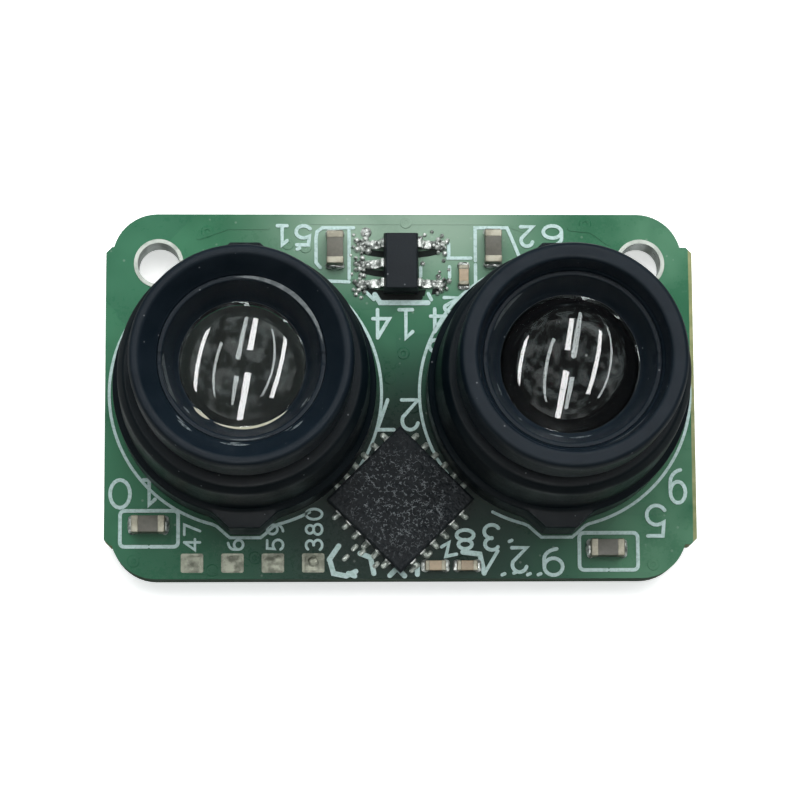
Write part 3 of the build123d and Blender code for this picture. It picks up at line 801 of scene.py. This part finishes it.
def microcontroller():
    """Package under a rough coat: a dense top that noise lifts and pits."""
    half, border_width = CONTROLLER_SIDE / 2, 0.12

    def top_point(across, up):
        x, y = CONTROLLER_SIDE * across - half, CONTROLLER_SIDE * up - half
        inset = half - max(abs(x), abs(y))
        fall = max(0.0, border_width - inset) / border_width
        lumps = noise.fractal(Vector((x * 4.2, y * 4.2, 1.7)), 0.6, 2.1, 4)
        pits = noise.noise(Vector((x * 11.0, y * 11.0, 5.1)))
        z = CONTROLLER_TOP + (0.035 * lumps + 0.025 * pits) * (1 - fall) - 0.08 * fall ** 2
        return x, y, min(z, CONTROLLER_MOST)

    mesh = bmesh.new()
    grid = height_field(mesh, standing(*CONTROLLER_PLACE), 150, top_point)
    border = (grid[0] + [line[-1] for line in grid[1:]] + grid[-1][-2::-1]
              + [line[0] for line in grid[-2:0:-1]])
    foot = [mesh.verts.new((vertex.co.x, vertex.co.y, FACE)) for vertex in border]
    bridge(mesh, border, foot)
    mesh.faces.new(foot)
    piece("controller_package", mesh, COATED_BLACK, "board", ["microcontroller"],
          crease=50.0)


# ---- Solder ----
def solder_piece(name, mesh, material=SOLDER):
    piece(name, mesh, material, "board", crease=60.0)


def mound(mesh, x, y, length, width, height, turn, seed, rough=0.25):
    """A lump of solder: a low dome over a rounded rectangle, pulled about by noise."""
    def dome_point(across, up):
        u, v = 2 * across - 1, 2 * up - 1
        u, v = u * math.sqrt(1 - 0.42 * v * v), v * math.sqrt(1 - 0.42 * u * u)
        lift = max(0.0, 1 - max(abs(u), abs(v)) ** 2.4)
        wave = noise.noise(Vector((u * 1.9 + seed * 3.1, v * 1.9, seed)))
        z = height * lift ** 0.6 * (1 + rough * 2 * wave)
        return u * length / 2, v * width / 2, max(z, 0.0)

    height_field(mesh, standing(x, y, turn), 12, dome_point)


def bead(mesh, x, y, radius, height):
    """A smooth round drop of solder."""
    rows = 5
    rings = []
    for row in range(rows):
        rise = math.pi / 2 * row / rows
        rings.append(ring(mesh, (x, y), radius * math.cos(rise), height * math.sin(rise), 14))
    for lower, upper in zip(rings, rings[1:]):
        bridge(mesh, upper, lower)
    fan(mesh, mesh.verts.new((x, y, FACE + height)), rings[-1])


def regulator_solder():
    """A low fillet along each lead, with a drop where the lead leaves the case."""
    mesh = bmesh.new()
    for index, (side, y) in enumerate(LEADS):
        tip = REGULATOR[0] + side * 1.45
        mound(mesh, tip, y, 0.95, 0.42, 0.15, 0, index + 0.5, 0.12)
        bead(mesh, REGULATOR[0] + side * 1.04, y + 0.05, 0.19, 0.34)
        bead(mesh, tip + side * 0.12, y - 0.03, 0.18, 0.26)
    solder_piece("regulator_solder", mesh)


def solder_beads():
    """The clusters of small bright drops at the leads' ends and round the regulator."""
    mesh = bmesh.new()
    for index, (side, y) in enumerate(LEADS):
        for count in range(13):
            turn = 2.4 * count + index
            reach = 0.06 + 0.036 * count
            bead(mesh, REGULATOR[0] + side * 1.9 + 0.85 * reach * math.cos(turn),
                 y - 0.03 + reach * math.sin(turn), 0.12 + 0.035 * math.sin(3.1 * count + index), 0.2)
    bead(mesh, -1.61, 7.86, 0.27, 0.16)
    for x, y, radius in ((1.2, 7.75, 0.1), (1.0, 7.6, 0.12), (1.55, 7.9, 0.09), (2.3, 7.5, 0.1),
                         (1.1, 6.35, 0.12), (2.1, 6.5, 0.1), (1.9, 5.95, 0.08), (2.35, 6.05, 0.09),
                         (-2.2, 7.75, 0.09), (-2.1, 4.85, 0.12), (-1.85, 4.7, 0.1), (-2.35, 6.75, 0.08),
                         (-2.3, 5.85, 0.09)):
        bead(mesh, x, y, radius, radius)
    solder_piece("solder_beads", mesh)


def painted_lead_shadows():
    """Painted shadow: dark sheets just below each of the regulator's leads and below its case."""
    mesh = bmesh.new()
    for side, y in LEADS:
        near, far = REGULATOR[0] + side * 0.8, REGULATOR[0] + side * 1.75
        stroke(mesh, [(near, y - 0.46), ((near + far) / 2, y - 0.4), (far, y - 0.3)], 0.3, PAINTED_SHADOW_HEIGHT)
    stroke(mesh, [(-0.85, 4.72), (0.95, 4.72)], 0.3, PAINTED_SHADOW_HEIGHT)
    piece("painted_lead_shadow_sheets", mesh, PAINTED_SHADOW, "board", closed=False)


def chip_solder():
    """Fillets at the ends of the chip parts."""
    mesh = bmesh.new()
    for places, (length, width, _), height in ((CAPACITOR_PLACES, CAPACITOR_SIZE, 0.3),
                                               (RESISTOR_PLACES, RESISTOR_SIZE, 0.16)):
        for index, (x, y, turn) in enumerate(places):
            for way in (-1, 1):
                end = around((x, y), way * (length / 2 - 0.02), math.radians(turn))
                mound(mesh, *end, 0.42, width + 0.1, height, turn, index + way * 0.4 + length, 0.1)
    solder_piece("chip_solder", mesh)


def terminal_solder():
    """Small blobs in front of each terminal of the controller."""
    mesh = bmesh.new()
    x0, y0, turn = CONTROLLER_PLACE
    for quarter in range(4):
        for index in range(6):
            place = Matrix.Rotation(math.radians(90 * quarter + turn), 3, "Z")
            spot = place @ Vector((CONTROLLER_SIDE / 2 + 0.16, (index - 2.5) * TERMINAL_PITCH, 0))
            seed = quarter * 6 + index
            mound(mesh, x0 + spot.x, y0 + spot.y, 0.55, 0.3, 0.13, 90 * quarter + turn, seed + 0.6, 0.12)
    for x, y in ((-2.2, -7.28), (-1.84, -7.5), (-2.62, -7.75), (-1.2, -8.1), (0.55, -8.3), (1.3, -7.6)):
        mound(mesh, x, y, 0.42, 0.24, 0.08, 45, x, 0.1)
    solder_piece("terminal_solder", mesh, TERMINAL_TIN)


def pad_tin():
    """The uneven tin on the four wire pads, pooled into a brighter lump on the last."""
    mesh = bmesh.new()
    for index in range(4):
        mound(mesh, FIRST_PAD[0] + PAD_PITCH * index, FIRST_PAD[1], 0.98, 0.84, 0.075, 0, index + 2.2, 0.3)
    mound(mesh, FIRST_PAD[0] + 3 * PAD_PITCH, FIRST_PAD[1] + 0.05, 0.5, 0.5, 0.14, 15, 9.4, 0.3)
    solder_piece("pad_tin", mesh, TIN)


# ---- Ink, traces and vias ----
STROKE_COUNT = itertools.count()


def raised(mesh, points, height):
    return [mesh.verts.new((*point, FACE + height)) for point in points]


def stroke(mesh, points, width, height=INK_HEIGHT):
    """A flat raised line through the points, closed on itself or with round ends, each at its own height."""
    path = [Vector(point) for point in points]
    height += LAYER_STEP * (next(STROKE_COUNT) % LAYER_CYCLE)
    looped = (path[0] - path[-1]).length < width / 20
    if looped:
        path.pop()
    last = len(path) - 1
    left, right = [], []
    for index, point in enumerate(path):
        after = path[(index + 1) % len(path)] if looped else path[min(index + 1, last)]
        before = path[index - 1] if looped else path[max(index - 1, 0)]
        ahead, behind = after - point, point - before
        ahead = ahead.normalized() if ahead.length else behind.normalized()
        behind = behind.normalized() if behind.length else ahead
        along = (ahead + behind).normalized()
        across = Vector((-along.y, along.x))
        reach = width / 2 / max(0.5, across.dot(Vector((-ahead.y, ahead.x))))
        left.append(point + across * reach)
        right.append(point - across * reach)
    top_left, top_right = raised(mesh, left, height), raised(mesh, right, height)
    right.reverse()
    for index in range(len(path) if looped else last):
        after = (index + 1) % len(path)
        mesh.faces.new((top_left[index], top_right[index], top_right[after], top_left[after]))
    if looped:
        skirt(mesh, left, height)
        skirt(mesh, right, height)
        return
    far_cap = end_cap(path[-1], path[-1] - path[-2], width)
    near_cap = end_cap(path[0], path[0] - path[1], width)
    for cap, one, two in ((far_cap, top_left[-1], top_right[-1]), (near_cap, top_right[0], top_left[0])):
        mesh.faces.new([two, *reversed(raised(mesh, cap, height)), one])
    skirt(mesh, left + far_cap + right + near_cap, height)


def skirt(mesh, border, height):
    """The low wall under a line's outline."""
    bridge(mesh, raised(mesh, border, 0.0), raised(mesh, border, height))


def end_cap(centre, way, width):
    """Points round the end of a line, from its left to its right."""
    heading = math.atan2(way.y, way.x)
    return [Vector(around(centre, width / 2, heading + math.radians(degrees)))
            for degrees in (60, 30, 0, -30, -60)]


def bow(cx, cy, rx, ry, start, end, steps=12):
    """Points along part of an ellipse, in degrees."""
    turns = (math.radians(start + (end - start) * step / steps) for step in range(steps + 1))
    return [(cx + rx * math.cos(turn), cy + ry * math.sin(turn)) for turn in turns]


DIGITS = {
    0: [bow(0.5, 0.5, 0.42, 0.5, 90, 450, 20)],
    1: [[(0.25, 0.78), (0.55, 1.0), (0.55, 0.0)], [(0.25, 0.0), (0.85, 0.0)]],
    2: [bow(0.5, 0.7, 0.4, 0.3, 165, -25) + [(0.1, 0.0), (0.92, 0.0)]],
    3: [bow(0.45, 0.76, 0.38, 0.24, 150, -90), bow(0.45, 0.27, 0.42, 0.27, 90, -150)],
    4: [[(0.7, 0.0), (0.7, 1.0)], [(0.7, 1.0), (0.08, 0.32), (0.95, 0.32)]],
    5: [[(0.85, 1.0), (0.2, 1.0), (0.15, 0.55)] + bow(0.47, 0.32, 0.42, 0.32, 120, -150)],
    6: [bow(0.75, 0.62, 0.63, 0.38, 100, 180, 6) + [(0.12, 0.35)], bow(0.5, 0.3, 0.38, 0.3, 180, 540, 18)],
    7: [[(0.08, 1.0), (0.9, 1.0), (0.38, 0.0)]],
    8: [bow(0.5, 0.76, 0.33, 0.24, -90, 270, 16), bow(0.5, 0.27, 0.42, 0.27, 90, 450, 18)],
    9: [bow(0.5, 0.68, 0.38, 0.32, 0, 360, 18), [(0.88, 0.66)] + bow(0.25, 0.38, 0.63, 0.38, 0, -80, 6)],
}


def number(mesh, digit, low, high, turn=180, width=INK_WIDTH):
    """One digit drawn in a box from low to high, turned by 90 or 180 degrees."""
    for line in DIGITS[digit]:
        turned = [(1 - v, u) if turn == 90 else (1 - u, 1 - v) for u, v in line]
        stroke(mesh, [(low[0] + (high[0] - low[0]) * u, low[1] + (high[1] - low[1]) * v) for u, v in turned],
               width)


def soft_frame(x0, y0, x1, y1, corner, gap):
    """A rounded box outline that starts and ends at a gap in its lower side."""
    left, right, low, high = x0 + corner, x1 - corner, y0 + corner, y1 - corner
    middle = (x0 + x1) / 2
    points = [(middle - gap, y0), (left, y0)]
    for x, y, start in ((left, low, 270), (left, high, 180), (right, high, 90), (right, low, 0)):
        points += bow(x, y, corner, corner, start, start - 90, 4)
    return [*points, (middle + gap, y0)]


def holder_outline_ink(mesh):
    """The printed outline round each holder, with its lugs, where the chips leave room for it."""
    for side, start, end in (("tx", 130, 298), ("tx", 322, 477), ("rx", 63, 218), ("rx", 242, 410)):
        points = []
        for degrees in range(start, end + 1, 2):
            angle = math.radians(degrees)
            reach = smooth_max(HOLDER_BASE + 0.3, lug_radius(angle, LUG_END + 0.15, LUG_FLAT + 0.05), 0.1)
            points.append(around(lens_centre(side), reach, angle))
        stroke(mesh, points, 0.14)


def chip_outline_ink(mesh):
    """Frames and corner marks printed round the chips."""
    stroke(mesh, soft_frame(-13.24, -7.22, -10.51, -5.52, 0.2, 0.08), INK_WIDTH)
    stroke(mesh, soft_frame(8.41, -8.36, 11.18, -6.6, 0.22, 0.08), INK_WIDTH)
    lines = (
        [(-2.2, 8.09), (-3.7, 8.09), (-3.95, 7.9), (-4.0, 7.6), (-4.0, 6.4), (-3.8, 6.15)],
        [(-2.42, 8.0), (-2.42, 5.62)],
        [(-3.45, 5.5), (-2.43, 5.46)],
        [(3.62, 6.5), (3.62, 8.1), (5.15, 8.1), (5.36, 7.6), (5.72, 6.7)],
        [(2.3, 6.62), (3.4, 6.62)],
        [(2.35, 7.3), (2.35, 6.75)],
        [(3.62, 6.3), (3.62, 5.2)],
        [(-1.6, 4.95), (-1.25, 4.6)],
        [(1.35, 4.9), (1.5, 4.6)],
        [(1.0, 6.15), (1.0, 5.75)],
        [(2.38, 6.2), (2.38, 5.7)],
        [(1.9, -7.25), (2.25, -7.05), (2.1, -7.7), (2.6, -7.6)],
        [(4.55, -7.45), (3.95, -8.45)],
    )
    for points in lines:
        stroke(mesh, points, 0.16)
    bold = (
        [(-1.2, 4.85), (-0.95, 4.45), (1.34, 4.45)],
        [(-3.4, -7.85), (-2.95, -7.2)],
        [(-3.35, -7.95), (-3.2, -8.5), (-2.6, -8.62), (-2.15, -8.4)],
        [(-2.5, -8.5), (-2.2, -8.62)],
        [(-1.95, -7.55), (-1.45, -7.75), (-1.3, -8.5)],
        [(-0.55, -8.6), (-0.2, -8.25), (0.15, -8.62)],
        [(0.75, -8.55), (0.75, -8.1)],
        [(2.9, -7.5), (3.7, -7.6), (3.9, -8.5)],
    )
    for points in bold:
        stroke(mesh, points, 0.24)
    for x, y in ((4.75, -8.58), (5.3, -8.5), (5.95, -8.58), (6.45, -8.58), (-4.9, 7.05), (5.1, -7.0)):
        stroke(mesh, [(x, y), (x + 0.12, y + 0.05)], 0.16)


def numbers_ink(mesh):
    """Plain numbers beside the parts, upside down, and beside the wire pads, on their sides."""
    glyphs = (
        (4, (-1.34, 2.75), (-0.45, 4.11)), (1, (-0.2, 2.75), (0.86, 4.11)),
        (4, (1.42, 3.05), (2.2, 4.15)), (2, (2.05, 4.0), (2.85, 4.7)), (6, (1.3, 1.7), (2.05, 2.65)),
        (7, (-1.21, -1.67), (-0.25, -0.24)), (2, (-0.02, -1.67), (0.93, -0.24)),
        (1, (-5.96, 7.26), (-5.2, 8.19)), (5, (-5.05, 7.26), (-4.19, 8.19)),
        (2, (5.75, 7.2), (6.45, 8.15)), (6, (6.75, 7.2), (7.9, 8.2)),
        (0, (-13.81, -5.37), (-12.69, -4.05)), (1, (-12.3, -5.23), (-11.37, -4.05)),
        (9, (12.66, -5.18), (13.6, -3.6)), (5, (11.5, -6.75), (12.6, -5.3)),
        (8, (2.53, -7.35), (3.5, -6.45)), (3, (3.8, -7.4), (4.67, -6.21)),
        (2, (5.15, -8.45), (6.0, -7.3)), (9, (6.6, -8.6), (7.75, -7.35)),
    )
    for digit, low, high in glyphs:
        number(mesh, digit, low, high)
    labels = (((-10.22, -9.48), (4, 7)), ((-8.16, -7.45), (6, 1)), ((-6.32, -5.57), (5, 9)),
              ((-4.49, -3.73), (3, 8, 0)))
    for (left, right), digits in labels:
        for index, digit in enumerate(digits):
            low = -7.42 + 0.72 * index
            number(mesh, digit, (left, low), (right, low + 0.58), 90, 0.12)


def silkscreen():
    mesh = bmesh.new()
    holder_outline_ink(mesh)
    chip_outline_ink(mesh)
    numbers_ink(mesh)
    piece("silkscreen_marks", mesh, INK, "board", closed=False)


def traces():
    """Copper tracks that show as low ridges under the mask."""
    mesh = bmesh.new()
    lines = (
        ((-1.5, 5.35), (-2.9, 4.6), (-2.9, 3.0), (-0.9, 1.2), (-0.9, -0.1)),
        ((1.45, 5.3), (1.2, 4.2), (0.9, 3.4), (0.9, 1.0), (0.35, 0.4), (0.35, -1.6)),
        ((-4.2, 8.45), (4.9, 8.45), (6.0, 8.05)),
        ((-9.85, -7.5), (-9.85, -6.6)), ((-7.95, -7.5), (-7.95, -6.9)),
        ((-6.05, -7.5), (-5.6, -6.9), (-3.7, -5.9)), ((-4.15, -7.5), (-3.3, -6.7), (-2.6, -6.2)),
        ((-12.9, -3.5), (-12.9, 0.6), (-13.2, 1.0), (-13.2, 3.4)),
        ((13.0, -2.8), (13.0, 1.2), (13.3, 1.6), (13.3, 4.0)),
        ((12.4, -7.3), (11.8, -7.9), (8.6, -8.55), (5.0, -8.55)),
        ((-13.0, -7.0), (-12.2, -7.9), (-11.0, -8.35), (-3.6, -8.5)),
        ((-0.3, 1.9), (-0.3, 0.6), (0.0, 0.3), (0.0, -0.2)),
        ((-6.3, 8.1), (-8.2, 8.1), (-9.6, 7.6)), ((8.2, 8.1), (9.2, 8.0), (10.0, 7.4)),
    )
    for index, points in enumerate(lines):
        stroke(mesh, points, 0.2 + 0.1 * (index % 3), TRACE_HEIGHT)
    piece("covered_tracks", mesh, MASK, "board", closed=False)


def vias():
    """Plated holes under the mask: a low ring with a dimple in it."""
    mesh = bmesh.new()
    spots = ((-5.35, 7.3), (-4.5, 7.15), (0.15, 2.0), (2.9, -7.95), (-0.5, 0.8), (-13.0, -2.6), (13.2, -1.9),
             (-2.2, 3.9), (12.9, 3.2), (-12.6, -7.9), (11.9, -8.1), (0.6, -0.6), (-9.2, 7.9), (8.9, 8.3),
             (-6.9, -7.75), (0.3, 8.35), (-8.9, -8.35), (2.6, 3.6))
    outline = ((0.09, 0.003), (0.12, 0.025), (0.26, 0.027), (0.3, 0.0))
    for spot in spots:
        rings = [ring(mesh, spot, r, z, 24) for r, z in outline]
        mesh.faces.new(rings[0])
        for inner, outer in zip(rings, rings[1:]):
            bridge(mesh, outer, inner)
    piece("covered_vias", mesh, MASK, "board")


# ---- Build ----
def dress(name, material):
    """Gives a CAD node that stays visible its finish."""
    mesh = NODES[name].data
    mesh.materials.clear()
    mesh.materials.append(material)


for side in ("tx", "rx"):
    lens_holder(side)
    lens_barrel(side)
    retaining_ring(side)
    lens_spacer(side)
    lens_glass(side)
    painted_light_marks(side)
painted_lens_edge_reflection()
regulator()
microcontroller()
chip_parts("capacitor", CAPACITOR_PLACES, CAPACITOR_SIZE, 0.36, CAPACITOR_BROWN, CHIP_TIN,
           ("capacitor_bodies", "capacitor_ends"))
chip_parts("resistor", RESISTOR_PLACES, RESISTOR_SIZE, 0.24, RESISTOR_TAN, CHIP_TIN,
           ("resistor_bodies", "resistor_ends"))
regulator_solder()
solder_beads()
painted_lead_shadows()
chip_solder()
terminal_solder()
pad_tin()
silkscreen()
traces()
vias()
for name, material in (("circuit_board", MASK), ("hole_plating", PLATING), ("wire_pads", TIN),
                       ("holder_screws", STEEL), ("regulator_leads", SOLDER),
                       ("microcontroller_terminals", SOLDER), ("laser_emitter", DARK_CERAMIC),
                       ("receiver_chip", PACKAGE_BLACK), ("infrared_filter", FILTER_GLASS)):
    dress(name, material)


# ---- Floor, light and camera ----
def floor():
    mesh = bmesh.new()
    half = 1.5
    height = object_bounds()[0][2] - 0.00002
    mesh.faces.new([mesh.verts.new((x * half, y * half, height))
                    for x, y in ((-1, -1), (1, -1), (1, 1), (-1, 1))])
    data = bpy.data.meshes.new("pale_floor")
    mesh.to_mesh(data)
    mesh.free()
    made = bpy.data.objects.new("pale_floor", data)
    bpy.context.scene.collection.objects.link(made)
    paper, tree, shader = new_material("pale_paper")
    pale = blend_colour(tree, place_noise(tree, 900.0, 3.0), (0.86, 0.86, 0.86), (0.90, 0.90, 0.90))
    put(tree, shader, Base_Color=pale, Roughness=0.9, Specular_IOR_Level=0.1,
        Emission_Color=(1.0, 1.0, 1.0), Emission_Strength=0.55)
    data.materials.append(paper)
    made.visible_diffuse = False
    made.visible_glossy = False
    made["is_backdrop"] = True


def panel_light(name, place, aim, size, power, diffuse=True, glossy=True):
    data = bpy.data.lights.new(name, "AREA")
    data.shape = "RECTANGLE"
    data.size, data.size_y = size
    data.energy = power
    made = bpy.data.objects.new(name, data)
    made.location = place
    direction = Vector(aim) - Vector(place)
    made.rotation_euler = direction.to_track_quat("-Z", "Y").to_euler()
    made.visible_diffuse = diffuse
    made.visible_glossy = glossy
    made.visible_transmission = glossy
    bpy.context.scene.collection.objects.link(made)
    return made


TUBE_HEIGHT = 0.35          # in metres
TUBE_BRIGHTNESS = 18.0


def tube_light(name, x, y, half_length, width, lean):
    """A narrow bright strip that faces down and only shows in reflections."""
    made = panel_light(name, (x, y, TUBE_HEIGHT), (x, y, 0.0), (width, 2 * half_length), 1.0, diffuse=False)
    made.rotation_euler = (0.0, 0.0, -math.radians(lean))
    made.data.energy = TUBE_BRIGHTNESS * math.pi * width * 2 * half_length


def lights():
    world = bpy.data.worlds.new("soft_studio")
    bpy.context.scene.world = world
    world.use_nodes = True
    tree = world.node_tree
    back = tree.nodes["Background"]
    clouds = add_node(tree, "TexNoise", Vector=add_node(tree, "TexCoord").outputs["Generated"], Scale=4.6,
                      Detail=1.0)
    put(tree, back, Color=(0.93, 1.0, 0.99),
        Strength=ramp(tree, clouds.outputs["Fac"], 0.48, 0.66, 0.13, 1.1))
    panel_light("key_panel", (0.05, 0.32, 0.50), (0, 0, 0), (0.8, 0.6), 6.6, glossy=False)
    tube_light("left_tube", -0.236, 0.02, 0.32, 0.024, 10)
    tube_light("middle_tube_far", 0.055, 0.31, 0.20, 0.026, 10)
    tube_light("middle_tube_near", -0.025, -0.20, 0.215, 0.028, 10)
    tube_light("right_tube", 0.195, 0.16, 0.27, 0.022, 16)


def camera():
    data = bpy.data.cameras.new("main_camera")
    data.lens = 139.96
    data.sensor_width = 36.0
    data.clip_start = 0.01
    made = bpy.data.objects.new("main_camera", data)
    made.location = (-0.0047136, -0.0225055, 0.1475273)
    made.rotation_euler = (0.1515, -0.0313, -0.0054)
    bpy.context.scene.collection.objects.link(made)
    bpy.context.scene.camera = made


floor()
lights()
camera()
bpy.context.scene.view_settings.view_transform = "Standard"
